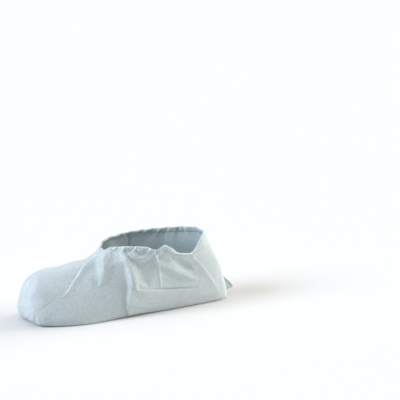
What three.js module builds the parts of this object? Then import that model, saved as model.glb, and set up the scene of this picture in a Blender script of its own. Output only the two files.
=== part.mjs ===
// A disposable shoe cover in its worn form: a thin hollow bag of non-woven cloth with a gathered elastic
// mouth. Millimetres. The toe points along -X, the foot's inner side faces -Y, +Z is up, z = 0 is the ground.
import * as THREE from "three";

const { clamp, degToRad, euclideanModulo, lerp, radToDeg, smoothstep } = THREE.MathUtils;

// Cloth, hem and seams
const WALL = 1.4;
const GAP = 0.3;
// The hem: its height, how far the elastic swells it on both faces, its gap to the cloth that it is sewn to.
const HEM = { height: 8, swell: 0.7, gap: 0.5 };
const SEAM = { width: 2.2, height: 1.2, toe_end: 0.8, heel_end: 0.79 };
// The bag's square corner, pinched flat behind the heel: how far its tip reaches, the heights of the tip and
// of its upper end on the heel, its thickness, and how wide it is where it leaves the heel.
const HEEL_CORNER = { reach: 19, tip: 7, top: 31, thick: 3, root: 6.6 };
// Gathers of the elastic: how many, their depth, how far down they fade, how unevenly they lie.
const GATHERS = { count: 22, depth: 1.7, fade: 22, uneven: 1.1 };

// Fineness of the surface
const HALF_COLUMNS = 52;
const HEM_ROWS = 2;
const BODY_ROWS = 21;
const FOLD_STEPS = 12;
const LINE_STEPS = 400;

// Level lines of the bag, from the mouth down to the edge of the sole, each a closed outline seen from above.
// toe, heel: [x, z] where the line crosses the foot's middle plane; side: its z at half length;
// half: its half widths at the shares of its length in WIDTHS_AT; arch: how much narrower the waist is on the
// inner side; blunt: how square the two ends are.
const LEVELS = [
  { toe: [-27, 86], side: 95, heel: [124, 97], half: [45, 46, 43, 38], arch: 0, blunt: 2.4 },
  { toe: [-50, 76], side: 85, heel: [130, 86], half: [39, 45, 46, 41], arch: 0, blunt: 2.2 },
  { toe: [-88, 71.5], side: 70, heel: [138, 70], half: [33, 40, 47, 42], arch: 0, blunt: 2.1 },
  { toe: [-124, 68], side: 54, heel: [146, 54], half: [36, 41, 48, 43], arch: 2, blunt: 2.3 },
  { toe: [-142, 56], side: 38, heel: [151, 38], half: [42, 45, 48, 42], arch: 3, blunt: 2.6 },
  { toe: [-149, 34], side: 22, heel: [154, 22], half: [48, 50, 48, 41], arch: 6, blunt: 2.8 },
  { toe: [-150.5, 14], side: 9, heel: [155, 10], half: [51, 52, 47, 40], arch: 9, blunt: 3 },
  { toe: [-145, 3], side: 2.2, heel: [153, 2.5], half: [51, 52, 45, 38], arch: 12, blunt: 3 },
  { toe: [-137, 0], side: 0, heel: [148, 0], half: [49, 50, 42, 35], arch: 14, blunt: 3 },
];
const WIDTHS_AT = [0.1, 0.25, 0.6, 0.88];
const WAIST = 2;
// The level line that the columns of the wall are spaced evenly on.
const EVEN_LEVEL = 4;

// How far the mouth's edge stands above (or below) its level line, at degrees round the foot from the toe.
const MOUTH_LINE = [
  { at: 0, lift: 1 }, { at: 20, lift: 7 }, { at: 45, lift: 7 }, { at: 70, lift: 2 }, { at: 82, lift: -5 },
  { at: 89, lift: 0 }, { at: 108, lift: -13 }, { at: 121, lift: -18 }, { at: 138, lift: -6 },
  { at: 155, lift: -1 }, { at: 180, lift: 0 }, { at: 270, lift: -2 }, { at: 300, lift: -4 },
  { at: 335, lift: -4 }, { at: 360, lift: 1 },
];
// The number of level lines that the mouth's dips and rises die out over.
const MOUTH_REACH = 3;

// Folds and dents of the cloth. path: the first, middle and last point of each as [degrees round the foot,
// share of the way down the wall]; height: how far it stands out at its first end (less than 0 is a dent);
// foot: the share of that height left at its last end; left, right: its width on either side, looking
// along it.
const FOLDS = {
  instep_ridge: { path: [[0, 0.06], [38, 0.27], [47, 0.55]], height: 3.2, foot: 0.3, left: 6, right: 8 },
  front_pleat: { path: [[15, 0.06], [52, 0.24], [71, 0.47]], height: 3.4, foot: 0.2, left: 4, right: 9 },
  side_band: { path: [[38, 0.05], [75, 0.3], [88, 0.71]], height: 4.2, foot: 0.3, left: 5, right: 5 },
  side_hollow: { path: [[72, 0.22], [85, 0.31], [92, 0.44]], height: -3.4, foot: 0.6, left: 10, right: 9 },
  rear_crease: { path: [[79, 0.06], [93, 0.23], [98, 0.5]], height: 2.4, foot: 0.3, left: 5, right: 5 },
  shoe_edge: { path: [[88, 0.5], [104, 0.56], [130, 0.62]], height: 2.2, foot: 0.6, left: 4, right: 14 },
  heel_pleat: { path: [[106, 0.14], [127, 0.28], [142, 0.61]], height: 4.4, foot: 0.3, left: 4, right: 20 },
  ankle_dent: { path: [[104, 0.2], [112, 0.27], [118, 0.33]], height: -3.4, foot: 0.5, left: 9, right: 9 },
  toe_edge: { path: [[4, 0.4], [19, 0.55], [23, 0.8]], height: 1.6, foot: 0.8, left: 8, right: 8 },
  toe_tuck: { path: [[10, 0.66], [11, 0.75], [12, 0.86]], height: 1.8, foot: 0.8, left: 5, right: 5 },
  outer_ridge: { path: [[328, 0.27], [317, 0.36], [310, 0.5]], height: 2.4, foot: 0.3, left: 7, right: 6 },
  outer_band: { path: [[312, 0.17], [288, 0.33], [276, 0.66]], height: 3.8, foot: 0.3, left: 5, right: 6 },
  outer_hollow: { path: [[283, 0.2], [272, 0.32], [266, 0.45]], height: -3, foot: 0.6, left: 10, right: 10 },
  outer_crease: { path: [[276, 0.06], [264, 0.25], [258, 0.5]], height: 2.6, foot: 0.3, left: 5, right: 5 },
  outer_edge: { path: [[232, 0.62], [256, 0.57], [274, 0.52]], height: 2, foot: 0.6, left: 4, right: 14 },
  outer_pleat: { path: [[248, 0.08], [232, 0.28], [221, 0.6]], height: 3.4, foot: 0.3, left: 16, right: 5 },
  outer_tuck: { path: [[346, 0.66], [345, 0.75], [344, 0.86]], height: 1.6, foot: 0.8, left: 5, right: 5 },
};
// Folds die out before the flat sole: the shares of the way down where that starts and ends.
const FLAT_FROM = 0.8;
const FLAT_TO = 0.95;

// A smooth curve through (knots, values), level at both ends.
function through(knots, values, at) {
  const last = knots.length - 1;
  if (at <= knots[0]) return values[0];
  if (at >= knots[last]) return values[last];
  const i = knots.findIndex((knot, j) => at >= knot && at < knots[j + 1]);
  const slope = (j) => {
    if (j === 0 || j === last) return 0;
    return (values[j + 1] - values[j - 1]) / (knots[j + 1] - knots[j - 1]);
  };
  const span = knots[i + 1] - knots[i];
  const t = (at - knots[i]) / span;
  const ease = t * t * (3 - 2 * t);
  const leave = t * (1 - t) * (1 - t) * span * slope(i);
  const arrive = t * t * (t - 1) * span * slope(i + 1);
  return lerp(values[i], values[i + 1], ease) + leave + arrive;
}

// The point of a level line at an angle round the foot, from the toe by way of the inner side to the heel.
function levelPoint(level, angle) {
  const cos = Math.cos(angle);
  const sin = Math.sin(angle);
  const along = Math.sign(cos) * Math.abs(cos) ** (2 / level.blunt);
  const across = Math.sign(sin) * Math.abs(sin) ** (2 / level.blunt);
  const half = level.half.map((width, i) => (i === WAIST && sin > 0 ? width - level.arch : width));
  const [endX, endZ] = cos > 0 ? level.toe : level.heel;
  const middleX = (level.toe[0] + level.heel[0]) / 2;
  return new THREE.Vector3(
    lerp(middleX, endX, Math.abs(along)),
    -through(WIDTHS_AT, half, (1 - along) / 2) * across,
    lerp(level.side, endZ, cos * cos),
  );
}

// The wall's course at an angle: the curve from the mouth's edge down to the edge of the sole.
function wallCourse(angle) {
  const degrees = radToDeg(angle);
  const lift = through(MOUTH_LINE.map((row) => row.at), MOUTH_LINE.map((row) => row.lift), degrees);
  const points = LEVELS.map((level, i) => {
    const point = levelPoint(level, angle);
    point.z += lift * Math.max(0, 1 - i / MOUTH_REACH) ** 2;
    return point;
  });
  return new THREE.CatmullRomCurve3(points, false, "centripetal");
}

// Half of a level line without its arch, from toe to heel, which spaces the columns of the wall evenly.
class HalfLine extends THREE.Curve {
  getPoint(t) {
    return levelPoint({ ...LEVELS[EVEN_LEVEL], arch: 0 }, Math.PI * t);
  }
}

// The columns of the wall round the foot: their angle, their even share of a turn and their course. They are
// mirrored from the inner to the outer side, and two more stand on each side of the heel's pinched corner.
function makeColumns() {
  const line = new HalfLine();
  line.arcLengthDivisions = LINE_STEPS;
  const half = Array.from({ length: HALF_COLUMNS }, (_, i) => i / HALF_COLUMNS);
  const beforeHeel = (width) => 1 - width / 2 / line.getLength();
  half.push(beforeHeel(HEEL_CORNER.root), beforeHeel(HEEL_CORNER.thick), 1);
  const inner = half.map((share) => ({ turn: share / 2, angle: Math.PI * line.getUtoTmapping(share) }));
  const mirrored = inner.slice(1, -1).reverse();
  const outer = mirrored.map(({ turn, angle }) => ({ turn: 1 - turn, angle: 2 * Math.PI - angle }));
  return [...inner, ...outer].map((column) => ({ ...column, course: wallCourse(column.angle) }));
}

// The trail of a fold over the plain wall, as stations with their angle, share of the way down and place. It
// is the parabola through the three points of the fold's path.
function foldTrail(fold) {
  const [first, middle, last] = fold.path;
  return Array.from({ length: FOLD_STEPS + 1 }, (_, i) => {
    const t = i / FOLD_STEPS;
    const weights = [(1 - t) * (1 - 2 * t), 4 * t * (1 - t), t * (2 * t - 1)];
    const blend = (k) => weights[0] * first[k] + weights[1] * middle[k] + weights[2] * last[k];
    const [degrees, share] = [blend(0), blend(1)];
    const angle = degToRad(euclideanModulo(degrees, 360));
    return { t, degrees, share, place: wallCourse(angle).getPoint(share) };
  });
}

// How far one fold lifts the cloth at a place: a bell across the fold, as wide as its left or right side.
function foldRelief(fold, place, degrees, share) {
  let nearest = { distance: Infinity };
  for (let i = 0; i < fold.trail.length - 1; i++) {
    const start = fold.trail[i];
    const end = fold.trail[i + 1];
    const step = new THREE.Line3(start.place, end.place);
    const t = step.closestPointToPointParameter(place, true);
    const distance = step.at(t, new THREE.Vector3()).distanceTo(place);
    if (distance < nearest.distance) nearest = { distance, start, end, t };
  }
  const { distance, start, end, t } = nearest;
  const turned = euclideanModulo(degrees - start.degrees + 180, 360) - 180;
  const side = (end.degrees - start.degrees) * (share - start.share) - (end.share - start.share) * turned;
  const width = side > 0 ? fold.right : fold.left;
  const height = fold.height * lerp(1, fold.foot, lerp(start.t, end.t, t));
  return height * Math.exp(-((distance / width) ** 2));
}

// How far the gathers lift the cloth on a column, at a distance below the mouth's edge.
function gatherRelief(turn, below) {
  const wave = Math.cos(2 * Math.PI * GATHERS.count * turn + GATHERS.uneven * Math.sin(4 * Math.PI * turn));
  return GATHERS.depth * wave * Math.exp(-below / GATHERS.fade);
}

// Outward directions of a grid of points, from each point's neighbours. The last row edges the flat sole.
function gridNormals(grid) {
  return grid.map((row, j) => row.map((_, i) => {
    if (j === grid.length - 1) return new THREE.Vector3(0, 0, -1);
    const down = grid[j + 1][i].clone().sub(grid[Math.max(0, j - 1)][i]);
    const round = row[(i + 1) % row.length].clone().sub(row[(i + row.length - 1) % row.length]);
    return down.cross(round).normalize();
  }));
}

// A grid moved along its normals, by the distance that a function gives for each row.
function moved(grid, normals, distanceAt) {
  const move = (point, normal, j) => point.clone().addScaledVector(normal, distanceAt(j));
  return grid.map((row, j) => row.map((point, i) => move(point, normals[j][i], j)));
}

// Triangles between consecutive rows of a grid that goes round the foot, split along each square's shorter
// diagonal. In a closed band the last row meets the first.
function wallTriangles(rows, closed) {
  const index = [];
  const points = rows.flat();
  const count = rows[0].length;
  const bands = closed ? rows.length : rows.length - 1;
  for (let j = 0; j < bands; j++) {
    for (let i = 0; i < count; i++) {
      const a = j * count + i;
      const b = j * count + ((i + 1) % count);
      const c = ((j + 1) % rows.length) * count + i;
      const d = ((j + 1) % rows.length) * count + ((i + 1) % count);
      const falling = points[a].distanceTo(points[d]) < points[b].distanceTo(points[c]);
      index.push(...(falling ? [a, c, d, a, d, b] : [a, c, b, b, c, d]));
    }
  }
  return index;
}

// Triangles of a flat sole across one row, from each column to its mirror image, facing down or up.
function soleTriangles(start, count, facesDown) {
  const index = [];
  for (let i = 0; i < count / 2; i++) {
    const corners = [i, count - i, i + 1, count - i - 1].map((k) => start + (k % count));
    const [near, far, nearNext, farNext] = corners;
    const faces = [[near, far, nearNext], [nearNext, far, farNext]];
    for (const face of faces.filter((corner) => new Set(corner).size === 3)) {
      index.push(...(facesDown ? face : face.reverse()));
    }
  }
  return index;
}

function solid(name, points, index, material) {
  const geometry = new THREE.BufferGeometry().setFromPoints(points);
  geometry.setIndex(index);
  geometry.computeVertexNormals();
  const mesh = new THREE.Mesh(geometry, material);
  mesh.name = name;
  return mesh;
}

// The plain wall, the hem's rows first, with the folds and gathers added along its normals
const columns = makeColumns();
const folds = Object.values(FOLDS).map((fold) => ({ ...fold, trail: foldTrail(fold) }));
const sharesDown = columns.map(({ course }) => {
  const hemEnd = course.getUtoTmapping(0, HEM.height);
  const bodyTop = course.getUtoTmapping(0, HEM.height + HEM.gap);
  const hem = Array.from({ length: HEM_ROWS + 1 }, (_, j) => (hemEnd * j) / HEM_ROWS);
  const body = Array.from({ length: BODY_ROWS + 1 }, (_, j) => lerp(bodyTop, 1, j / BODY_ROWS));
  return [...hem, ...body];
});
const plain = sharesDown[0].map((_, j) => columns.map(({ course }, i) => course.getPoint(sharesDown[i][j])));
const plainNormals = gridNormals(plain);
const cloth = plain.map((row, j) => row.map((place, i) => {
  const { angle, turn } = columns[i];
  const share = sharesDown[i][j];
  const below = place.distanceTo(plain[0][i]);
  const fold = folds.reduce((sum, each) => sum + foldRelief(each, place, radToDeg(angle), share), 0);
  const relief = (fold + gatherRelief(turn, below)) * (1 - smoothstep(share, FLAT_FROM, FLAT_TO));
  const point = place.clone().addScaledVector(plainNormals[j][i], relief);
  point.z = Math.max(0, point.z);
  return point;
}));
const normals = gridNormals(cloth);
const bodyStart = HEM_ROWS + 1;
normals[bodyStart] = normals[HEM_ROWS];

const nonwoven = new THREE.MeshStandardMaterial({ color: 0xc6d6e0, roughness: 0.85, metalness: 0 });
const hemCloth = new THREE.MeshStandardMaterial({ color: 0xcedbe4, roughness: 0.85, metalness: 0 });
const thread = new THREE.MeshStandardMaterial({ color: 0xd8e2ea, roughness: 0.7, metalness: 0 });

// The bag: the inner face from the sole up to the hem, then the outer face down again, closed by two soles
const bodyInner = moved(cloth, normals, () => -WALL).slice(bodyStart);
const bodyOuter = cloth.slice(bodyStart).map((row) => row.map((point) => {
  const pinched = Math.abs(point.y) < HEEL_CORNER.thick && point.x > 0;
  const { reach, tip, top } = HEEL_CORNER;
  const share = clamp(Math.min(point.z / tip, (top - point.z) / (top - tip)), 0, 1);
  return pinched ? point.clone().setX(point.x + reach * share) : point;
}));
const bodyRows = [...bodyInner.reverse(), ...bodyOuter];
const bodyPoints = bodyRows.flat();
const coverBody = solid("cover_body", bodyPoints, [
  ...wallTriangles(bodyRows, false),
  ...soleTriangles(0, columns.length, false),
  ...soleTriangles(bodyPoints.length - columns.length, columns.length, true),
], nonwoven);

// The hem: a closed band that the elastic swells on both faces, pressed flat along its sewn lower edge
const swell = (j) => (j < HEM_ROWS ? HEM.swell : 0);
const hemOuter = moved(cloth, normals, swell).slice(0, bodyStart);
const hemInner = moved(cloth, normals, (j) => -WALL - swell(j)).slice(0, bodyStart);
const hemRows = [...hemOuter, ...hemInner.reverse()];
const elasticHem = solid("elastic_hem", hemRows.flat(), wallTriangles(hemRows, true), hemCloth);

// A sewn seam: a raised strip along one column of the bag, down to a share of the wall's course. across is
// the direction of its width, chosen so that its height points away from the bag.
function sewnSeam(name, column, end, across) {
  const count = bodyOuter.filter((_, j) => sharesDown[column][bodyStart + j] <= end).length;
  const line = bodyOuter.slice(0, count).map((row) => row[column]);
  const halfWidth = SEAM.width / 2;
  const sections = line.map((point, j) => {
    const run = line[Math.min(j + 1, count - 1)].clone().sub(line[Math.max(j - 1, 0)]);
    const up = run.cross(across).normalize();
    const corner = (side, height) => point.clone().addScaledVector(across, side).addScaledVector(up, height);
    const top = GAP + SEAM.height;
    return [corner(-halfWidth, top), corner(halfWidth, top), corner(halfWidth, GAP), corner(-halfWidth, GAP)];
  });
  const last = (count - 1) * sections[0].length;
  const ends = [0, 1, 2, 0, 2, 3, last, last + 2, last + 1, last, last + 3, last + 2];
  return solid(name, sections.flat(), [...wallTriangles(sections, false), ...ends], thread);
}

const shoeCover = new THREE.Group();
shoeCover.add(coverBody, elasticHem);
shoeCover.add(sewnSeam("toe_seam", 0, SEAM.toe_end, new THREE.Vector3(0, -1, 0)));
shoeCover.add(sewnSeam("heel_seam", columns.length / 2, SEAM.heel_end, new THREE.Vector3(0, 1, 0)));

export default shoeCover;
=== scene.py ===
from collections import namedtuple

import bpy
import numpy as np
from mathutils import Matrix, Vector


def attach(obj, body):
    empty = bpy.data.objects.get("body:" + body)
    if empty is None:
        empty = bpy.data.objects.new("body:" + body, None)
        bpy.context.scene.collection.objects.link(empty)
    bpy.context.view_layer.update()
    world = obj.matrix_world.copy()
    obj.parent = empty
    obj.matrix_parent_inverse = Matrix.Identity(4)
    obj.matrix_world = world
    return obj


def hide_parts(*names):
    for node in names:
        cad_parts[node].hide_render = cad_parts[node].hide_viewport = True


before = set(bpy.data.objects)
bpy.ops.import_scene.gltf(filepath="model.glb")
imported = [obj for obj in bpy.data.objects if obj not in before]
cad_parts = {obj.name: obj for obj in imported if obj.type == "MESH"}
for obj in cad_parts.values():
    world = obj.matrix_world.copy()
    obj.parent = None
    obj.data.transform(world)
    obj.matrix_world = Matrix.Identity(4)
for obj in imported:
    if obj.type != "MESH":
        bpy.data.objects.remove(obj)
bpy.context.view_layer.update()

# The bag: one sheet of thin spunbond cloth, folded under the foot and sewn up at the toe and at the heel.
# It is pulled on like a sock, so its slack lies in folds that run down from the gathered mouth, and its sole
# is pressed flat.
MM = 0.001
CLOTH_THICK = 0.35
# Level lines from the mouth down to the edge of the sole. toe, heel: (x, z) in the foot's middle plane;
# side: z at half length; half: half widths at the shares of the length in WIDTHS_AT; slim: how much narrower
# the last three of them are on the inner side; blunt, corner: how square the line is, and its inner heel.
Level = namedtuple("Level", "toe side heel half slim blunt corner")
LEVELS = (
    Level((-27, 86), 95, (121.8, 97), (45, 46, 44.5, 42.5, 34), (0, 0, 2), 2.4, 3),
    Level((-50, 76), 85, (127.3, 86), (39, 45, 46, 45, 36), (0, 0, 3.5), 2.2, 4.5),
    Level((-88, 72.3), 70, (134.8, 70), (33, 40, 44.5, 46, 37), (0, 1, 7.5), 2.1, 6),
    Level((-124, 68), 54, (143.3, 54), (36, 41, 45.5, 47.5, 37), (0, 4, 12.5), 2.3, 7),
    Level((-142, 56), 38, (149.3, 38), (44, 46, 47, 47.5, 37), (0, 5, 15), 2.6, 7),
    Level((-149, 34), 22, (152.8, 22), (50.5, 50, 48.5, 48, 37), (0, 4, 11.5), 2.8, 7),
    Level((-150.5, 14), 9, (154.3, 10), (53.5, 52, 48.5, 48, 37), (0.5, 4.5, 7), 3, 7),
    Level((-145.5, 2.6), 1.8, (152.8, 2.2), (53, 52.5, 49, 47, 36), (5, 6, 4.5), 3, 7),
    Level((-140, 0), 0, (148.8, 0), (51, 51.5, 48, 45, 34), (8, 7.5, 4), 3, 7),
)
WIDTHS_AT = (0.1, 0.25, 0.45, 0.62, 1.12)
SLIM_FROM = 2
EVEN_LEVEL = 4
# The mouth's edge above or below its level line, at degrees round the foot from the toe.
MOUTH_DEGREES = (0, 20, 45, 70, 82, 89, 93, 101, 112, 122, 138, 155, 180, 270, 300, 335, 360)
MOUTH_LIFT = (1, 7, 7, 2, -5, 0, -4.5, -13.5, -19, -22, -7, -1, 0, -2, -4, -4, 1)
MOUTH_REACH = 3
# How the photograph was taken: the camera's turn from straight at the side, how steeply it looks down, its
# lens and sensor, the picture's width at the cover, the place in its middle, right of and above the origin,
# and how many pixels wide it is.
AZIMUTH = np.radians(-28)
ELEVATION = np.radians(16)
LENS = 1200
SENSOR = 36
PICTURE_WIDTH = 546.4
AIM_RIGHT = 108.6
AIM_UP = 147.7
PIXELS = 400
# Folds that the photograph shows. places: along the crest, in pixels right of and below the picture's top
# left corner; heights along it, evenly spaced; left, right: width on either side at its highest place,
# looking along it; soft: radius of its crest. A fold keeps its slopes along its length, so it narrows where
# it is lower.
Seen = namedtuple("Seen", "places heights left right soft")
HEEL_STRIP = ((190.2, 254.4), (195.6, 259.6), (200.8, 265), (205.5, 271), (209.8, 277.4), (213.7, 283.4),
              (217, 287.9))
SEEN_FOLDS = (
    # long line over the instep, pleat at the front of the mouth, and the kinks beside them
    Seen(((101.5, 250), (98, 253.5), (95, 255.5), (90, 260.5), (84.5, 266), (80, 273), (76.5, 279),
          (72.5, 284.5), (68.5, 291), (64, 296), (60.5, 298.5)),
         (0.2, 0.6, 1.4, 2.2, 2.2, 2.2, 2, 1.8, 1.5, 1, 0.3), 8, 2.2, 0.4),
    Seen(((106.5, 250), (105, 252.5), (104, 257.5), (103.5, 265), (103.5, 269.5), (102.5, 274.5), (102, 280),
          (100.5, 284.5)),
         (2, 3.4, 4.4, 4.6, 4.6, 4.2, 3.4, 1.4), 14, 8.5, 0.5),
    Seen(((105, 263), (104, 270), (104, 277), (103.5, 283)), (0.3, 0.7, 0.7, 0.3), 1.8, 1.4, 0.4),
    Seen(((85.5, 275), (88.5, 279), (91.5, 282.5), (92.5, 286), (91, 290)),
         (0.4, 0.9, 1.1, 0.9, 0.4), 3, 4, 1.2),
    Seen(((110.5, 249.5), (110.5, 253), (110.5, 258)), (1, 1, 0.4), 1.6, 2.4, 0.5),
    Seen(((108, 260.5), (109, 264), (112.5, 265), (115, 263), (116, 259.5)),
         (0.3, 0.6, 0.7, 0.6, 0.3), 2.2, 2.2, 0.6),
    # side band, forked at the mouth: a steep toeward facet, its crest, and a long slope to the hollow behind
    Seen(((119.6, 248), (120.6, 251), (121.8, 254.4), (123.6, 258.4), (126.2, 264), (128.3, 269),
          (130, 273.8), (131.2, 279), (132.3, 284.2), (132.5, 289.5), (131.6, 294.3), (131, 299.4),
          (130.4, 304), (128.5, 310)),
         (2, 2.4, 2.6, 2.6, 2.8, 3.4, 4.2, 4.8, 5.2, 5.2, 4.9, 4.6, 4.2, 2.2), 55, 4.4, 0.4),
    Seen(((124.2, 247.8), (123.4, 250.5), (122.4, 253.5)), (1.6, 1.6, 0.8), 1.5, 2.4, 0.4),
    Seen(((121.4, 248), (121.6, 250.3), (121.8, 252.5)), (-0.6, -0.6, -0.2), 1.2, 1.2, 0.4),
    Seen(((126.9, 253.6), (128.5, 256.4), (131, 258.9), (134, 261.1), (136.8, 264.6), (139.4, 268.7),
          (141.2, 273.2), (142.8, 278), (144.6, 282.7)),
         (-0.2, -0.4, -0.8, -1.6, -2.6, -3.3, -3.5, -3, -1.4), 20, 10.5, 1.5),
    Seen(((123.6, 251.2), (124.8, 255), (126.4, 259.4), (128.2, 263.6), (129.8, 267)),
         (1.4, 2.2, 2.4, 1.8, 0.8), 4.5, 9, 0.5),
    Seen(((126.4, 259.4), (128.2, 263.6), (129.8, 267), (131.2, 271), (132.3, 275.3), (133.6, 280.6),
          (134.8, 285.7), (135.7, 288.7)),
         (0.5, 1.2, 2, 2.4, 2.5, 2.3, 1.5, 0.4), 8, 9, 1.5),
    # swags under the rim
    Seen(((126.6, 250.6), (128.4, 254.2), (130.8, 256.6), (133.8, 258.7), (137.4, 260.6), (141.2, 262.6),
          (145.5, 265.2), (150, 268)),
         (0.5, 1, 1.3, 1.4, 1.4, 1.2, 0.9, 0.3), 6, 1.4, 0.4),
    Seen(((126.2, 252.9), (127.8, 255.8), (130.2, 258.5), (132.8, 260.6), (135.6, 262.5), (138.6, 264.6)),
         (-0.4, -1, -1.3, -1.2, -0.8, -0.3), 1.6, 1.5, 0.3),
    Seen(((133.4, 251.2), (135, 254.6), (137.8, 257.2), (141.2, 258.6), (145.2, 258.8), (149.2, 257.4),
          (152.2, 254.8), (153.5, 251.3)),
         (0.6, 1.3, 1.9, 2.1, 2.1, 1.9, 1.4, 0.8), 4.5, 4, 0.5),
    Seen(((135.6, 250), (136.8, 252.8), (139.2, 254.8), (142, 255.5), (145, 254.6), (147.5, 252.2)),
         (-0.8, -1.4, -1.6, -1.4, -1, -0.4), 6, 1.8, 0.4),
    # rear crease, and the ledge along the lower side with the tuck above it
    Seen(((152.6, 248.6), (153.9, 251.6), (155, 254.8), (156.4, 258.4), (157.8, 262.7), (158.8, 267.9),
          (159.4, 272.8), (160.2, 278.6), (160.8, 283.4), (161, 287.2)),
         (1.8, 1.8, 1.7, 1.5, 1.2, 1, 1, 1, 0.9, 0.4), 2.6, 6.5, 0.4),
    Seen(((134.5, 287.6), (137, 290), (142, 290.8), (148, 290.8), (157, 290.6), (167.5, 290.5),
          (177.5, 290.2), (189.5, 289.6)),
         (0.5, 0.8, 1.3, 1.6, 1.6, 1.4, 1, 0.5), 1.5, 16, 0.4),
    Seen(((145.5, 289.6), (154.5, 289.5), (162, 289.6), (172, 289.2), (181, 288.7), (190.5, 287.9),
          (203.5, 286.9)),
         (-0.6, -2, -2.3, -2.2, -1.8, -1.2, -0.3), 2.5, 1.3, 0.3),
    # long soft branch of the rear crease, with the dent above it
    Seen(((156, 259.5), (158.5, 263.2), (162, 266), (167, 268), (172.5, 270.2), (178, 272.8), (184, 275.4),
          (190, 277.4), (197, 279.4)),
         (0.6, 1.4, 1.8, 2, 2.2, 2.2, 1.9, 1.4, 0.5), 7, 8, 1.5),
    Seen(((172, 258.5), (177, 261.5), (182, 264.6), (187, 267.6), (191.5, 270.3)),
         (-0.8, -1.9, -2.3, -2, -0.7), 6, 6, 2),
    # edge of the heel strip: a broad ridge, and the sharp line on it
    Seen(HEEL_STRIP, (0.5, 1.1, 1.4, 1.5, 1.4, 1, 0.5), 20, 70, 0.6),
    Seen(HEEL_STRIP, (0.2, 0.4, 0.5, 0.5, 0.5, 0.4, 0.2), 1.6, 9, 0.3),
    # edge of the toe's front facet
    Seen(((38, 275), (37.5, 280.5), (36, 287), (34.5, 291), (31, 296), (31, 300.5), (31.5, 304.5),
          (33, 310), (34, 314), (37.5, 315.5), (40.5, 321.5), (41, 325)),
         (1.4, 3.8, 3.6, 3.8, 3.2, 1.8), 26, 9, 0.8),
)
# The other folds. path: through (degrees round the foot from the toe, percent of the way down).
Fold = namedtuple("Fold", "path heights left right soft")
PLACED_FOLDS = (
    # toe: a pucker at its tip, crinkles on its front facet, and tucks over the sole
    Fold(((-15, 45.5), (-8, 47.6), (0, 49)), (0.5, 1.2, 0.4), 1.6, 1.6, 0.4),
    Fold(((-14, 48.2), (-7, 49.8), (1, 51)), (-0.5, -1.1, -0.4), 1.8, 1.8, 0.4),
    Fold(((0, 63), (5, 63), (10, 65)), (-0.5, -0.9, -0.5), 4, 4, 1.5),
    Fold(((-2, 53), (5, 55), (9, 60)), (0.4, 0.8, 0.4), 3, 4, 1),
    Fold(((-4, 72), (1, 68), (8, 69)), (0.5, 1, 0.4), 3, 3, 0.8),
    Fold(((1.5, 81), (6, 77), (10, 74)), (0.6, 1.4, 0.6), 3, 2.5, 0.7),
    Fold(((13, 84), (15, 78), (16, 73)), (1, 1.2, 0.4), 3, 3, 0.7),
    Fold(((24, 76), (23, 86)), (1, 1.4), 4, 3, 0.8),
    Fold(((31, 74), (32, 86)), (0.5, 1), 4, 4, 1),
    # outer side: its instep falls away behind the seam, and its folds answer those of the inner side
    Fold(((332, 4), (322, 12), (318, 22), (322, 34)), (-2.6, -4.6, -4.4, -2.6), 24, 22, 8),
    Fold(((346, 10), (334, 19), (323, 29), (316, 41), (312, 52)), (0.5, 1.4, 1.7, 1.5, 0.5), 2.4, 8, 0.6),
    Fold(((311, 3), (301, 10), (291, 20), (283, 31), (278, 44), (275, 60)),
         (1.4, 2.2, 2.8, 3, 2.4, 0.8), 4.5, 30, 0.8),
    Fold(((283, 20), (272, 32), (266, 45)), (-1.6, -3, -1.8), 14, 14, 6),
    Fold(((276, 6), (264, 25), (258, 50)), (1.2, 1.9, 0.6), 3, 4, 0.8),
    Fold(((232, 62), (256, 57), (274, 52)), (0.8, 1.8, 0.8), 1.8, 16, 0.8),
    Fold(((248, 8), (232, 28), (221, 60)), (0.8, 1.8, 0.5), 22, 3, 0.9),
)
# Steps along a fold's path; how far its feet are rounded off and how narrow it gets, as shares of its width;
# and the shares of the way down between which all folds flatten out.
TRAIL_STEPS = 32
FOOT_ROUND = 0.16
LEAST_WIDTH = 0.3
FLAT_FROM = 0.8
FLAT_TO = 0.95
# Gathers of the elastic, from coarse to fine: how many round the mouth, depth, how far down they fade, and
# how unevenly they are spaced.
Gathers = namedtuple("Gathers", "count depth fade uneven")
GATHERS = (
    Gathers(22, 1.0, 14, 1.1),
    Gathers(57, 0.55, 11, 2.3),
    Gathers(97, 0.2, 6, 3.1),
)
# How much of that depth the cloth has, at degrees round the foot: it is almost flat where the inner rim dips.
GATHERED_DEGREES = (0, 84, 98, 145, 180, 360)
GATHERED_SHARE = (1, 1, 0.3, 0.3, 0.8, 1)
# The toe's lower edge springs up from the ground.
SPRING = 3.4
SPRING_DEGREES = 24
SPRING_TOP = 20
# The square corner of the bag, pinched flat behind the heel.
CORNER_REACH = 20.5
CORNER_TIP = 7
CORNER_TOP = 31
CORNER_ROOT = 4.4
CORNER_EDGE = 1
CORNER_COLUMNS = 8
# The grid: its columns lie closer together where the cloth bends sharply. A fine one serves to find the bends
# and the seen folds' places.
HALF_COLUMNS = 176
FINE_COLUMNS = 800
FINE_ROWS = 400
LEAST_BEND = 0.06
BLUR_ALONG = 3
BLUR_DOWN = 2
BODY_ROWS = 120
SOLE_STEPS = 12
LINE_STEPS = 1600
RIM_STEPS = 80
RIM_SHARE = 0.2
HEM_HEIGHT = 8
HEM_LAP = 1


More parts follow.
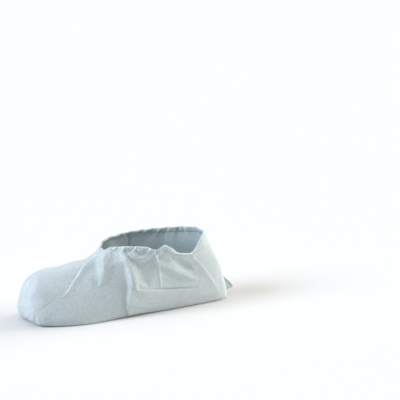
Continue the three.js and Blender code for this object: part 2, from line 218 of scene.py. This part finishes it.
def level_curve(knots, values, at):
    """Cubic Hermite curve through (knots, values), level at both ends, whose slope at an inner knot is that
    of the line between its neighbours."""
    knots = np.asarray(knots, float)
    values = np.asarray(values, float)
    slopes = np.zeros_like(values)
    slopes[1:-1] = (values[2:] - values[:-2]) / (knots[2:] - knots[:-2])
    at = np.clip(at, knots[0], knots[-1])
    i = np.clip(np.searchsorted(knots, at, side="right") - 1, 0, len(knots) - 2)
    span = knots[i + 1] - knots[i]
    t = (at - knots[i]) / span
    ease = t * t * (3 - 2 * t)
    leave = t * (1 - t) ** 2 * span * slopes[i]
    arrive = t * t * (t - 1) * span * slopes[i + 1]
    return values[i] + (values[i + 1] - values[i]) * ease + leave + arrive


def curve_through(points, share):
    """Centripetal Catmull-Rom curve through points (first axis), at shares from 0 to 1: a cubic on each span,
    whose end slopes weigh the neighbouring spans by the square root of their lengths."""
    spans = len(points) - 1
    padded = np.concatenate([2 * points[:1] - points[1:2], points, 2 * points[-1:] - points[-2:-1]])
    steps = np.sqrt(np.linalg.norm(np.diff(padded, axis=0), axis=-1, keepdims=True))
    at = np.clip(share, 0, 1) * spans
    span = np.minimum(at.astype(int), spans - 1)
    t = (at - span)[..., None]
    p0, p1, p2, p3 = (np.take_along_axis(padded, (span + k)[..., None], axis=0) for k in range(4))
    s0, s1, s2 = (np.take_along_axis(steps, (span + k)[..., None], axis=0) for k in range(3))
    leave = ((p1 - p0) / s0 - (p2 - p0) / (s0 + s1) + (p2 - p1) / s1) * s1
    arrive = ((p2 - p1) / s1 - (p3 - p1) / (s1 + s2) + (p3 - p2) / s2) * s1
    ease = t * t * (3 - 2 * t)
    return p1 + (p2 - p1) * ease + leave * t * (1 - t) ** 2 + arrive * t * t * (t - 1)


def level_line(level, angle):
    """Points of a level line: a superellipse, squarer at the inner heel, whose half width follows the foot's
    outline along its length."""
    cos = np.cos(angle)
    sin = np.sin(angle)
    along = np.sign(cos) * np.abs(cos) ** (2 / level.blunt)
    blunt = np.where((cos < 0) & (sin > 0), level.corner, level.blunt)
    across = np.sign(sin) * np.maximum(1 - np.abs(along) ** blunt, 0) ** (1 / blunt)
    slim = np.array(level.half, float)
    slim[SLIM_FROM:] -= level.slim
    at = (1 - along) / 2
    half = np.where(sin > 0, level_curve(WIDTHS_AT, slim, at), level_curve(WIDTHS_AT, level.half, at))
    end_x = np.where(cos > 0, level.toe[0], level.heel[0])
    end_z = np.where(cos > 0, level.toe[1], level.heel[1])
    middle_x = (level.toe[0] + level.heel[0]) / 2
    x = middle_x + (end_x - middle_x) * np.abs(along)
    z = level.side + (end_z - level.side) * cos * cos
    return np.stack([x, -half * across, z], axis=-1)


def plain_wall(angle, share):
    """The wall without folds: at each angle, a smooth curve down through the level lines, with the mouth's
    dips and rises dying out over the first lines."""
    lift = level_curve(MOUTH_DEGREES, MOUTH_LIFT, np.degrees(angle) % 360)
    lines = []
    for i, level in enumerate(LEVELS):
        line = level_line(level, angle)
        line[..., 2] += lift * max(0, 1 - i / MOUTH_REACH) ** 2
        lines.append(line)
    return curve_through(np.array(lines), share[None])[0]


def shares_at(angle, distances):
    """Shares of the way down at small distances in mm below the mouth's edge, measured along the wall."""
    share = np.linspace(0, RIM_SHARE, RIM_STEPS + 1)
    course = plain_wall(*np.meshgrid(angle, share))
    lengths = np.linalg.norm(np.diff(course, axis=0), axis=-1)
    below = np.concatenate([np.zeros((1, len(angle))), np.cumsum(lengths, axis=0)])
    return np.stack([np.interp(distances, column, share) for column in below.T], axis=1)


def outward(grid):
    """Unit normals of a grid that goes round the foot: down the wall crossed with along the row."""
    down = np.gradient(grid, axis=0)
    along = np.roll(grid, -1, axis=1) - np.roll(grid, 1, axis=1)
    normal = np.cross(down, along)
    return normal / np.linalg.norm(normal, axis=-1, keepdims=True)


def fold_relief(fold, degrees, percent, places):
    """Height of one fold over the plain wall: a tent across its trail, straight-sided from the crest down to
    its width on either side, with its crest and feet rounded off."""
    at = np.linspace(0, 1, TRAIL_STEPS + 1)
    path = curve_through(np.array(fold.path, float), at)
    trail = plain_wall(np.radians(path[:, 0]), path[:, 1] / 100)
    reach = max(fold.left, fold.right) * (1 + FOOT_ROUND) + fold.soft
    near = np.all((places > trail.min(axis=0) - reach) & (places < trail.max(axis=0) + reach), axis=-1)
    degrees, percent, places = degrees[near], percent[near], places[near]
    nearest = np.full(degrees.shape, np.inf)
    side = np.zeros(degrees.shape)
    along = np.zeros(degrees.shape)
    for k in range(TRAIL_STEPS):
        run = trail[k + 1] - trail[k]
        t = np.clip((places - trail[k]) @ run / (run @ run), 0, 1)
        distance = np.linalg.norm(places - trail[k] - t[..., None] * run, axis=-1)
        closer = distance < nearest
        ahead = path[k + 1] - path[k]
        turned = (degrees - path[k, 0] + 180) % 360 - 180
        cross = ahead[0] * (percent - path[k, 1]) - ahead[1] * turned
        nearest = np.where(closer, distance, nearest)
        side = np.where(closer, cross, side)
        along = np.where(closer, (k + t) / TRAIL_STEPS, along)
    heights = np.array(fold.heights, float)
    height = level_curve(np.linspace(0, 1, len(heights)), heights, along)
    narrow = np.maximum(height / heights[np.argmax(np.abs(heights))], LEAST_WIDTH)
    width = np.where(side > 0, fold.right, fold.left) * narrow
    below = 1 - (np.sqrt(nearest ** 2 + fold.soft ** 2) - fold.soft) / width
    foot = np.clip(below + FOOT_ROUND, 0, 2 * FOOT_ROUND) ** 2 / (4 * FOOT_ROUND)
    relief = np.zeros(near.shape)
    relief[near] = height * np.where(below > FOOT_ROUND, below, foot)
    return relief


def smooth_step(at, start, end):
    """0 before start, 1 after end, and a smooth cubic between them."""
    t = np.clip((at - start) / (end - start), 0, 1)
    return t * t * (3 - 2 * t)


def run_along(line):
    """Distance along a polyline, from 0 at its first point."""
    return np.concatenate([[0], np.cumsum(np.linalg.norm(np.diff(line, axis=0), axis=-1))])


def turn_of(angle):
    """Share of a turn round the foot at an angle, even along one level line and the same on both sides."""
    half = np.linspace(0, np.pi, LINE_STEPS + 1)
    run = run_along(level_line(LEVELS[EVEN_LEVEL]._replace(slim=(0, 0, 0)), half))
    share = np.interp(np.pi - np.abs(np.pi - angle), half, run / run[-1]) / 2
    return np.where(angle > np.pi, 1 - share, share)


def gather_relief(angle, below, waves):
    """Bulges between the elastic's stitches: waves round the mouth that fade down the wall."""
    turn = turn_of(angle)
    relief = np.zeros(np.broadcast_shapes(turn.shape, below.shape))
    for gathers in waves:
        phase = 2 * np.pi * gathers.count * turn + gathers.uneven * np.sin(4 * np.pi * turn)
        relief = relief + gathers.depth * np.cos(phase) * np.exp(-below / gathers.fade)
    return relief * level_curve(GATHERED_DEGREES, GATHERED_SHARE, np.degrees(angle) % 360)


def relief_over(angle, share, plain):
    """Height of all folds and gathers over the plain wall, dying out above the sole's edge."""
    rim = plain_wall(angle, np.zeros_like(share))
    relief = gather_relief(angle, np.linalg.norm(plain - rim, axis=-1), GATHERS)
    for fold in FOLDS:
        relief = relief + fold_relief(fold, np.degrees(angle), share * 100, plain)
    return relief * (1 - smooth_step(share, FLAT_FROM, FLAT_TO))


def toe_spring(angle, height):
    """Lift of the cloth near the ground: most at the tip of the toe, dying out to either side and upwards."""
    from_toe = np.abs((np.degrees(angle) + 180) % 360 - 180)
    return SPRING * (1 - smooth_step(from_toe, 0, SPRING_DEGREES)) * np.clip(1 - height / SPRING_TOP, 0, 1)


def draped(angle, share):
    """The wall with its folds and gathers raised along its normals, never below the ground."""
    plain = plain_wall(angle, share)
    cloth = plain + outward(plain) * relief_over(angle, share, plain)[..., None]
    height = np.maximum(cloth[..., 2], 0)
    cloth[..., 2] = height + toe_spring(angle, height)
    return cloth


def even_angles(count):
    """Angles from the toe to the root of the heel's corner that space columns evenly along one level line,
    and the distance between them in mm."""
    angle = np.linspace(0, np.pi, LINE_STEPS + 1)
    run = run_along(level_line(LEVELS[EVEN_LEVEL]._replace(slim=(0, 0, 0)), angle))
    end = run[-1] - CORNER_ROOT / 2
    return np.interp(np.linspace(0, end, count + 1), run, angle), end / count


fine_angle, fine_step = even_angles(FINE_COLUMNS)
fine_share = np.linspace(0, 1, FINE_ROWS + 1)
fine_wall = plain_wall(*np.meshgrid(fine_angle, fine_share))
fine_out = np.cross(np.gradient(fine_wall, axis=0), np.gradient(fine_wall, axis=1))
fine_out /= np.linalg.norm(fine_out, axis=-1, keepdims=True)
view_right = np.array([np.cos(AZIMUTH), np.sin(AZIMUTH), 0])
view_back = np.array([
    np.sin(AZIMUTH) * np.cos(ELEVATION),
    -np.cos(AZIMUTH) * np.cos(ELEVATION),
    np.sin(ELEVATION),
])
view = np.stack([view_right, np.cross(view_back, view_right), view_back], axis=-1)
view_aim = view @ [AIM_RIGHT, AIM_UP, 0]
fine_seen = np.moveaxis((fine_wall - view_aim) @ view, -1, 0).copy()
fine_rise = np.moveaxis(fine_out @ view, -1, 0).copy()
turned_away = fine_rise[2] < 0


def in_picture(right, up, near):
    """Pixels right of and below the picture's top left corner, of points given by how far right of, above and
    in front of its middle they are: the first two, scaled by the distance from the camera."""
    scale = PIXELS / (PICTURE_WIDTH - near * SENSOR / LENS)
    return PIXELS / 2 + right * scale, PIXELS / 2 - up * scale


def on_wall(seen):
    """A seen fold with its path on the inner wall: for each place, the point of a fine grid that shows
    nearest to it when it is raised by the fold's height there."""
    even = np.linspace(0, 1, len(seen.places))
    heights = np.interp(even, np.linspace(0, 1, len(seen.heights)), seen.heights)
    path = []
    for (place_x, place_y), height in zip(seen.places, heights):
        x, y = in_picture(*(fine_seen + fine_rise * height))
        miss = np.where(turned_away, np.inf, np.hypot(x - place_x, y - place_y))
        row, column = np.unravel_index(np.argmin(miss), miss.shape)
        path.append((np.degrees(fine_angle[column]), fine_share[row] * 100))
    return Fold(path, seen.heights, seen.left, seen.right, seen.soft)


FOLDS = [on_wall(seen) for seen in SEEN_FOLDS] + list(PLACED_FOLDS)


def body_shares(top):
    """Shares of the way down of the bag's rows, from their top row, just above the hem's lower edge."""
    return top + (1 - top) * np.linspace(0, 1, BODY_ROWS + 1)[:, None]


def blurred(values, reach):
    """Mean over some places on either side along the first axis, with the end rows repeated."""
    padded = np.pad(values, ((reach + 1, reach), (0, 0)), mode="edge")
    total = np.cumsum(padded, axis=0)
    return (total[2 * reach + 1:] - total[: -2 * reach - 1]) / (2 * reach + 1)


def crowded(angle, step):
    """Angles of one side's columns, row by row: their density grows with the square root of how sharply the
    relief bends along the row, blurred a little so that neighbouring rows agree."""
    share = body_shares(shares_at(angle, [HEM_HEIGHT - HEM_LAP]))
    spread = np.broadcast_to(angle, share.shape)
    relief = relief_over(spread, share, plain_wall(spread, share))
    bend = np.abs(np.gradient(np.gradient(relief, axis=1), axis=1)) / step ** 2
    bend = blurred(blurred(bend.T, BLUR_ALONG), BLUR_ALONG).T
    density = np.sqrt(blurred(blurred(bend, BLUR_DOWN), BLUR_DOWN) + LEAST_BEND)
    grown = np.cumsum(density[:, 1:] + density[:, :-1], axis=1)
    run = np.concatenate([np.zeros((len(share), 1)), grown], axis=1)
    even = np.linspace(0, 1, HALF_COLUMNS + 1)
    return np.stack([np.interp(even * row[-1], row, angle) for row in run])


inner = crowded(fine_angle, fine_step)
outer = 2 * np.pi - crowded(2 * np.pi - fine_angle, fine_step)
pinch = np.arange(1, CORNER_COLUMNS + 1) / CORNER_COLUMNS
corner = fine_angle[-1] + (np.pi - fine_angle[-1]) * np.broadcast_to(pinch, (BODY_ROWS + 1, CORNER_COLUMNS))
angle = np.concatenate([inner, corner, 2 * np.pi - corner[:, -2::-1], 2 * np.pi - outer[:, :0:-1]], axis=1)
half_pinch = np.concatenate([np.zeros(HALF_COLUMNS + 1), pinch])
pinched = np.concatenate([half_pinch, half_pinch[-2:0:-1]])
columns = angle.shape[1]

all_round = np.linspace(0, 2 * np.pi, LINE_STEPS + 1)
body_top = np.interp(angle, all_round, shares_at(all_round, [HEM_HEIGHT - HEM_LAP])[0])
body_share = body_shares(body_top)
wall = draped(angle, body_share)


def pull_corner(cloth):
    """Draws the columns of the heel's pinched corner out to a triangle and lays its two flanks together."""
    height = cloth[..., 2]
    rise = np.minimum(height / CORNER_TIP, (CORNER_TOP - height) / (CORNER_TOP - CORNER_TIP))
    out = cloth.copy()
    out[..., 0] += CORNER_REACH * np.clip(rise, 0, 1) * pinched
    flank = np.sign(np.arange(columns) - columns / 2)
    root = np.abs(cloth[:, HALF_COLUMNS, 1])[:, None]
    half = root + (CORNER_EDGE / 2 - root) * np.sqrt(pinched)
    out[..., 1] = np.where(pinched > 0, half * flank, out[..., 1])
    return out


wall = pull_corner(wall)


def sole_grid(edge):
    """The flat sole: straight lines across it from each column of its edge to the mirror column."""
    near = edge[: columns // 2 + 1]
    far = edge[-np.arange(columns // 2 + 1) % columns]
    across = np.linspace(0, 1, SOLE_STEPS + 1)[None, :, None]
    return near[:, None] + (far - near)[:, None] * across


sole = sole_grid(wall[-1])
rows = len(wall)
wall_index = np.arange(rows * columns).reshape(rows, columns)
sole_index = np.empty((columns // 2 + 1, SOLE_STEPS + 1), int)
sole_index[:, 0] = wall_index[-1, : columns // 2 + 1]
sole_index[:, -1] = wall_index[-1, -np.arange(columns // 2 + 1) % columns]
inside = sole[1:-1, 1:-1].reshape(-1, 3)
sole_index[1:-1, 1:-1] = rows * columns + np.arange(len(inside)).reshape(columns // 2 - 1, SOLE_STEPS - 1)
sole_index[0] = wall_index[-1, 0]
sole_index[-1] = wall_index[-1, columns // 2]


def grid_quads(index):
    """The four corners of each square of an index grid, as rows of [above, below, below next, above next]."""
    corners = [index[:-1, :-1], index[1:, :-1], index[1:, 1:], index[:-1, 1:]]
    return np.stack(corners, axis=-1).reshape(-1, 4)


def add_piece(name, points, faces, uv=None):
    """A smooth mesh object at the origin, from points in mm, squares, and a UV place for each of their
    corners. A square that names one corner twice running becomes a triangle."""
    kept = faces != np.roll(faces, 1, axis=1)
    sizes = kept.sum(axis=1)
    mesh = bpy.data.meshes.new(name)
    mesh.vertices.add(len(points))
    mesh.vertices.foreach_set("co", (points * MM).astype(np.float32).ravel())
    mesh.loops.add(int(sizes.sum()))
    mesh.loops.foreach_set("vertex_index", faces[kept].astype(np.int32))
    mesh.polygons.add(len(faces))
    mesh.polygons.foreach_set("loop_start", (np.cumsum(sizes) - sizes).astype(np.int32))
    mesh.update(calc_edges=True)
    if uv is not None:
        layer = mesh.uv_layers.new(name="cloth")
        layer.data.foreach_set("uv", (uv[kept] * MM).astype(np.float32).ravel())
    mesh.shade_smooth()
    mesh.validate()
    piece = bpy.data.objects.new(name, mesh)
    bpy.context.scene.collection.objects.link(piece)
    return piece


closed = np.concatenate([wall, wall[:, :1]], axis=1)
round_mm = np.concatenate([np.zeros((rows, 1)),
                           np.cumsum(np.linalg.norm(np.diff(closed, axis=1), axis=-1), axis=1)], axis=1)
row_run = np.gradient(closed, axis=1)
row_run /= np.linalg.norm(row_run, axis=-1, keepdims=True)
drop = np.diff(closed, axis=0)
drop = drop - row_run[1:] * np.sum(drop * row_run[1:], axis=-1, keepdims=True)
down_mm = np.concatenate([np.zeros((1, columns + 1)), np.cumsum(np.linalg.norm(drop, axis=-1), axis=0)])
wall_quads = grid_quads(np.concatenate([wall_index, wall_index[:, :1]], axis=1))
wall_uv = np.stack([round_mm, down_mm], axis=-1).reshape(-1, 2)
wall_uv_index = grid_quads(np.arange(rows * (columns + 1)).reshape(rows, columns + 1))
sole_quads = grid_quads(sole_index)[:, [0, 3, 2, 1]]
sole_uv = sole.reshape(-1, 3)[:, :2]
sole_uv_index = grid_quads(np.arange(sole_index.size).reshape(sole_index.shape))[:, [0, 3, 2, 1]]
bag = add_piece(
    "shoe_cover_bag",
    np.concatenate([wall.reshape(-1, 3), inside]),
    np.concatenate([wall_quads, sole_quads]),
    np.concatenate([wall_uv[wall_uv_index], sole_uv[sole_uv_index]]),
)
shell = bag.modifiers.new("cloth thickness", "SOLIDIFY")
shell.thickness = CLOTH_THICK * MM
shell.offset = -1


class Value:
    """A node's output socket. Arithmetic on it adds Math nodes to its tree."""

    def __init__(self, tree, socket=None):
        self.tree = tree
        self.socket = socket

    def node(self, kind, settings, inputs, output=0):
        """Adds a node: first its settings, then a link or a plain value for each of its input sockets."""
        made = self.tree.nodes.new(kind)
        for name, setting in settings.items():
            setattr(made, name, setting)
        for name, given in inputs.items():
            if isinstance(given, Value):
                self.tree.links.new(given.socket, made.inputs[name])
            else:
                made.inputs[name].default_value = given
        return Value(self.tree, made.outputs[output] if len(made.outputs) else None)

    def maths(self, operation, first, second):
        return self.node("ShaderNodeMath", {"operation": operation}, {0: first, 1: second})

    def __add__(self, other):
        return self.maths("ADD", self, other)

    def __sub__(self, other):
        return self.maths("SUBTRACT", self, other)

    def __rsub__(self, other):
        return self.maths("SUBTRACT", other, self)

    def __mul__(self, other):
        return self.maths("MULTIPLY", self, other)


CLOTH_THIN = (0.48, 0.56, 0.57, 1)
CLOTH_DENSE = (0.68, 0.76, 0.77, 1)
GLOW = (0.74, 0.84, 0.90, 1)
GLOW_SHARE = 0.12


def spunbond(name):
    """Spunbond cloth: a cloudy web of fine fibres, pressed together by a lattice of small bond points."""
    material = bpy.data.materials.new(name)
    material.use_nodes = True
    tree = material.node_tree
    tree.nodes.clear()
    make = Value(tree).node
    place = make("ShaderNodeTexCoord", {}, {}, "Object")
    flat = make("ShaderNodeTexCoord", {}, {}, "UV")
    cloud = make("ShaderNodeTexNoise", {}, {"Vector": place, "Scale": 330, "Detail": 4, "Roughness": 0.65})
    fibre = make("ShaderNodeTexNoise", {},
                 {"Vector": place, "Scale": 700, "Detail": 3, "Roughness": 0.6, "Distortion": 2.5})
    lattice = make("ShaderNodeMapping", {}, {"Vector": flat, "Rotation": (0, 0, np.radians(45))})
    bond_far = make("ShaderNodeTexVoronoi", {"voronoi_dimensions": "2D"},
                    {"Vector": lattice, "Scale": 560, "Randomness": 0.0})
    bond = make("ShaderNodeMapRange", {"interpolation_type": "SMOOTHSTEP"},
                {"Value": bond_far, "From Min": 0.18, "From Max": 0.34, "To Min": 1, "To Max": 0})
    density = cloud * 1.9 + fibre * 2.2 - 1.55
    colour = make("ShaderNodeMix", {"data_type": "RGBA"}, {0: density, 6: CLOTH_THIN, 7: CLOTH_DENSE}, 2)
    height = fibre * 0.5 + cloud * 0.3 - bond * 0.5
    bump = make("ShaderNodeBump", {}, {"Height": height, "Strength": 0.35, "Distance": 0.0004})
    cloth = make("ShaderNodeBsdfPrincipled", {},
                 {"Base Color": colour, "Roughness": 0.95 - bond * 0.2, "Normal": bump,
                  "Specular IOR Level": 0.3, "Sheen Weight": 0.15, "Sheen Roughness": 0.6})
    glow = make("ShaderNodeBsdfTranslucent", {}, {"Color": GLOW})
    both = make("ShaderNodeMixShader", {}, {0: GLOW_SHARE, 1: cloth, 2: glow})
    make("ShaderNodeOutputMaterial", {}, {"Surface": both})
    return material


bag.data.materials.append(spunbond("spunbond cloth"))
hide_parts("cover_body")
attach(bag, "root")

# The hem: the cloth's edge, folded over a thin elastic and sewn down all round the mouth.
# The elastic draws it together, so it swells into small uneven ruffles between the stitches.
HEM_COLUMNS = 560
HEM_ROWS = 9
HEM_THICK = 0.5
HEM_SWELL = 0.7
# Below 1, so that the hem is thickest above its middle.
SWELL_POWER = 0.7
HEM_LINE_STEPS = 4 * LINE_STEPS
RUFFLES = (Gathers(131, 0.35, 5, 4.2), Gathers(74, 0.4, 7, 2.9))


def hem_angles():
    """Angles all round the foot that space the hem's columns evenly along the mouth."""
    angle = np.linspace(0, 2 * np.pi, HEM_LINE_STEPS + 1)
    run = run_along(level_line(LEVELS[0], angle))
    return np.interp(np.arange(HEM_COLUMNS) / HEM_COLUMNS * run[-1], run, angle)


hem_angle = hem_angles()
hem_below = HEM_HEIGHT * np.linspace(0, 1, HEM_ROWS)
hem_share = shares_at(hem_angle, hem_below)
hem_middle = draped(np.broadcast_to(hem_angle, hem_share.shape), hem_share)
hem_out = outward(hem_middle)
ruffle = gather_relief(hem_angle[None, :], hem_below[:, None], RUFFLES)
hem_middle = hem_middle + hem_out * ruffle[..., None]
hem_bulge = np.sin(np.pi * np.linspace(0, 1, HEM_ROWS) ** SWELL_POWER)
hem_half = HEM_THICK + HEM_SWELL * hem_bulge[:, None, None]
hem_half[0] = 0
hem_rows = np.concatenate([hem_middle + hem_out * hem_half, (hem_middle - hem_out * hem_half)[:0:-1]])


def band_quads(rows, columns):
    """Squares of a band that is closed both ways."""
    index = np.arange(rows * columns).reshape(rows, columns)
    index = np.concatenate([index, index[:1]])
    return grid_quads(np.concatenate([index, index[:, :1]], axis=1))


def band_uv(grid):
    """Places on a closed band in mm: along its first row, and across it."""
    rows, columns = grid.shape[:2]
    along = np.linspace(0, np.linalg.norm(grid[0] - np.roll(grid[0], 1, axis=0), axis=-1).sum(), columns + 1)
    across = np.linspace(0, 2 * HEM_HEIGHT, rows + 1)
    places = np.stack(np.meshgrid(along, across), axis=-1).reshape(-1, 2)
    return places[grid_quads(np.arange((rows + 1) * (columns + 1)).reshape(rows + 1, columns + 1))]


hem = add_piece("gathered_hem", hem_rows.reshape(-1, 3), band_quads(*hem_rows.shape[:2]), band_uv(hem_rows))
hem.data.materials.append(spunbond("hem cloth"))
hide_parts("elastic_hem")
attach(hem, "root")

# The seams: the bag's two cloth edges, rolled together and sewn over with pale thread.
# One runs from the mouth over the instep to the toe, the other down the heel to the tip of its corner.
SEAM_WIDTH = 2.2
SEAM_HEIGHT = 0.3
SEAM_SIDES = 14
SEAM_STEP = 1.2
# The groove between the rolled seam's two lips, as shares of its height and half width.
GROOVE_DEPTH = 0.35
GROOVE_WIDTH = 0.3
# The seam thins over this many steps at either end, to this share of its size.
SEAM_TAPER = 3
SEAM_TIP = 0.2
STITCH_PITCH = 2.3
STITCH_RADIUS = 0.15
STITCH_SIDES = 6
STITCH_RINGS = 7
# How far a stitch reaches to either side, as a share of the seam's width, and how far it slants, as a share
# of the pitch; how far it comes down at its ends; how near these come to a point, and how slowly.
STITCH_REACH = 0.62
STITCH_SLANT = 0.22
STITCH_ARCH = 0.95
STITCH_END = 0.98
STITCH_BLUNT = 0.25
# A direction that no stitch runs along.
ASKEW = (0.31, 0.22, 0.92)
TOE_SEAM_END = 0.8
HEEL_SEAM_END = 0.79
THREAD = (0.62, 0.67, 0.68, 1)


def tubes(paths, radius, sides):
    """Round threads along paths (thread, ring, 3): circles square to each path, drawn nearly to a point at
    both ends."""
    run = np.gradient(paths, axis=1)
    run /= np.linalg.norm(run, axis=-1, keepdims=True)
    first = np.cross(run, np.broadcast_to(ASKEW, run.shape))
    first /= np.linalg.norm(first, axis=-1, keepdims=True)
    second = np.cross(run, first)
    turned = np.linspace(0, 2 * np.pi, sides, endpoint=False)
    rings = paths.shape[1]
    taper = ((1 - np.linspace(-STITCH_END, STITCH_END, rings) ** 2) ** STITCH_BLUNT)[None, :, None, None]
    circle = first[:, :, None] * np.cos(turned)[:, None] + second[:, :, None] * np.sin(turned)[:, None]
    return paths[:, :, None] + radius * taper * circle


def tube_faces(count, rings, sides):
    """Squares round each of several tubes that lie one after the other in a list of points."""
    index = np.arange(rings * sides).reshape(rings, sides)
    quads = grid_quads(np.concatenate([index, index[:, :1]], axis=1))
    return (quads[None] + (np.arange(count) * rings * sides)[:, None, None]).reshape(-1, 4)


def even_along(path, pitch):
    """Points spaced evenly along a polyline, the first of them half a pitch from its start."""
    run = run_along(path)
    at = np.arange(pitch / 2, run[-1], pitch)
    return np.stack([np.interp(at, run, path[:, k]) for k in range(3)], axis=-1)


def steps_and_up(path, across):
    """The step along a path at each of its points, and the unit direction square to that and to across."""
    step = np.gradient(path, axis=0)
    up = np.cross(step, across)
    return step, up / np.linalg.norm(up, axis=-1, keepdims=True)


def sewn_seam(name, node, path, across):
    """A rolled welt with two lips along a path of the bag, and slanted threads over it."""
    path = even_along(path, SEAM_STEP)
    _, up = steps_and_up(path, across)
    turned = np.linspace(0, 2 * np.pi, SEAM_SIDES, endpoint=False)
    lips = 1 - GROOVE_DEPTH * np.exp(-(np.cos(turned) / GROOVE_WIDTH) ** 2) * (np.sin(turned) > 0)
    from_end = np.minimum(np.arange(len(path)), np.arange(len(path))[::-1])
    taper = np.clip(from_end / SEAM_TAPER, SEAM_TIP, 1)[:, None, None]
    side = SEAM_WIDTH / 2 * np.cos(turned)[None, :, None] * across * taper
    rise = SEAM_HEIGHT * (np.sin(turned) * lips)[None, :, None] * up[:, None] * taper
    welt = path[:, None] + side + rise
    pitch_path = even_along(path, STITCH_PITCH)
    pitch_step, pitch_up = steps_and_up(pitch_path, across)
    sweep = np.linspace(-1, 1, STITCH_RINGS)[None, :, None]
    lift = (SEAM_HEIGHT + STITCH_RADIUS) * np.sqrt(1 - STITCH_ARCH * sweep ** 2)
    paths = pitch_path[:, None] + across * sweep * SEAM_WIDTH * STITCH_REACH + pitch_up[:, None] * lift
    paths = paths + pitch_step[:, None] * sweep * STITCH_SLANT
    threads = tubes(paths, STITCH_RADIUS, STITCH_SIDES)
    welt_faces = tube_faces(1, len(path), SEAM_SIDES)
    thread_faces = tube_faces(len(paths), STITCH_RINGS, STITCH_SIDES) + welt[..., 0].size
    points = np.concatenate([welt.reshape(-1, 3), threads.reshape(-1, 3)])
    piece = add_piece(name, points, np.concatenate([welt_faces, thread_faces]))
    piece.data.materials.append(thread_finish)
    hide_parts(node)
    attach(piece, "root")
    return piece


def sewing_thread(name):
    """Spun thread and rolled cloth edge: pale as the cloth, with a faint fleck of fibres."""
    material = bpy.data.materials.new(name)
    material.use_nodes = True
    tree = material.node_tree
    tree.nodes.clear()
    make = Value(tree).node
    place = make("ShaderNodeTexCoord", {}, {}, "Object")
    fleck = make("ShaderNodeTexNoise", {}, {"Vector": place, "Scale": 1200, "Detail": 3})
    colour = make("ShaderNodeMix", {"data_type": "RGBA"}, {0: fleck, 6: CLOTH_DENSE, 7: THREAD}, 2)
    bump = make("ShaderNodeBump", {}, {"Height": fleck, "Strength": 0.4, "Distance": 0.0002})
    thread = make("ShaderNodeBsdfPrincipled", {},
                  {"Base Color": colour, "Roughness": 0.8, "Normal": bump, "Sheen Weight": 0.2})
    make("ShaderNodeOutputMaterial", {}, {"Surface": thread})
    return material


thread_finish = sewing_thread("sewing thread")
toe_line = wall[body_share[:, 0] <= TOE_SEAM_END, 0]
heel_line = wall[body_share[:, columns // 2] <= HEEL_SEAM_END, columns // 2]
toe_seam = sewn_seam("toe_seam_stitched", "toe_seam", toe_line, np.array([0.0, -1.0, 0.0]))
heel_seam = sewn_seam("heel_seam_stitched", "heel_seam", heel_line, np.array([0.0, 1.0, 0.0]))

# The studio: a white floor, a large cool light at the left and front, a strong warm one that grazes the cover
# from behind at the right, a soft one above, and the photograph's camera.
CLIP_END = 100
# direction: along the picture's right, up and near directions; spread: degrees that the lamp spans.
Sun = namedtuple("Sun", "name direction spread strength colour")
SUNS = (
    Sun("key_light", (-0.76, 0.42, 0.49), 30, 2.65, (0.88, 0.95, 1.11)),
    Sun("fill_light", (0.93, 0.3, -0.36), 40, 4.9, (1.04, 0.98, 0.9)),
    Sun("top_light", (0.03, 0.99, 0.05), 100, 1.35, (1.0, 1.0, 1.0)),
)
ROOM_COLOUR = (1, 1, 1, 1)
ROOM_STRENGTH = 0.25
FLOOR_HALF = 20000
FLOOR_LEVEL = -0.1
FLOOR_COLOUR = (0.7, 0.7, 0.69, 1)
FLOOR_ROUGHNESS = 0.9


def aimed(position, target):
    """The placing of a light or camera at a position, looking at a target with its top upwards."""
    turn = (Vector(position) - Vector(target)).to_track_quat("Z", "Y")
    return Matrix.Translation(position) @ turn.to_matrix().to_4x4()


camera = bpy.data.objects.new("camera", bpy.data.cameras.new("camera"))
camera.data.lens = LENS
camera.data.sensor_width = SENSOR
camera.data.clip_end = CLIP_END
camera.matrix_world = aimed((view_aim + view_back * PICTURE_WIDTH * LENS / SENSOR) * MM, view_aim * MM)
bpy.context.scene.collection.objects.link(camera)
bpy.context.scene.camera = camera

for sun in SUNS:
    light = bpy.data.objects.new(sun.name, bpy.data.lights.new(sun.name, "SUN"))
    light.data.angle = np.radians(sun.spread)
    light.data.energy = sun.strength
    light.data.color = sun.colour
    light.matrix_world = aimed(view @ sun.direction, (0, 0, 0))
    bpy.context.scene.collection.objects.link(light)

world = bpy.data.worlds.new("studio")
bpy.context.scene.world = world
world.use_nodes = True
world.node_tree.nodes["Background"].inputs["Color"].default_value = ROOM_COLOUR
world.node_tree.nodes["Background"].inputs["Strength"].default_value = ROOM_STRENGTH
bpy.context.scene.view_settings.view_transform = "Standard"

floor_corners = np.array([[-1, -1, 0], [1, -1, 0], [1, 1, 0], [-1, 1, 0]]) * FLOOR_HALF + [0, 0, FLOOR_LEVEL]
floor = add_piece("floor", floor_corners, np.array([[0, 1, 2, 3]]))
floor_paint = bpy.data.materials.new("white floor")
floor_paint.use_nodes = True
floor_paint.node_tree.nodes["Principled BSDF"].inputs["Base Color"].default_value = FLOOR_COLOUR
floor_paint.node_tree.nodes["Principled BSDF"].inputs["Roughness"].default_value = FLOOR_ROUGHNESS
floor.data.materials.append(floor_paint)
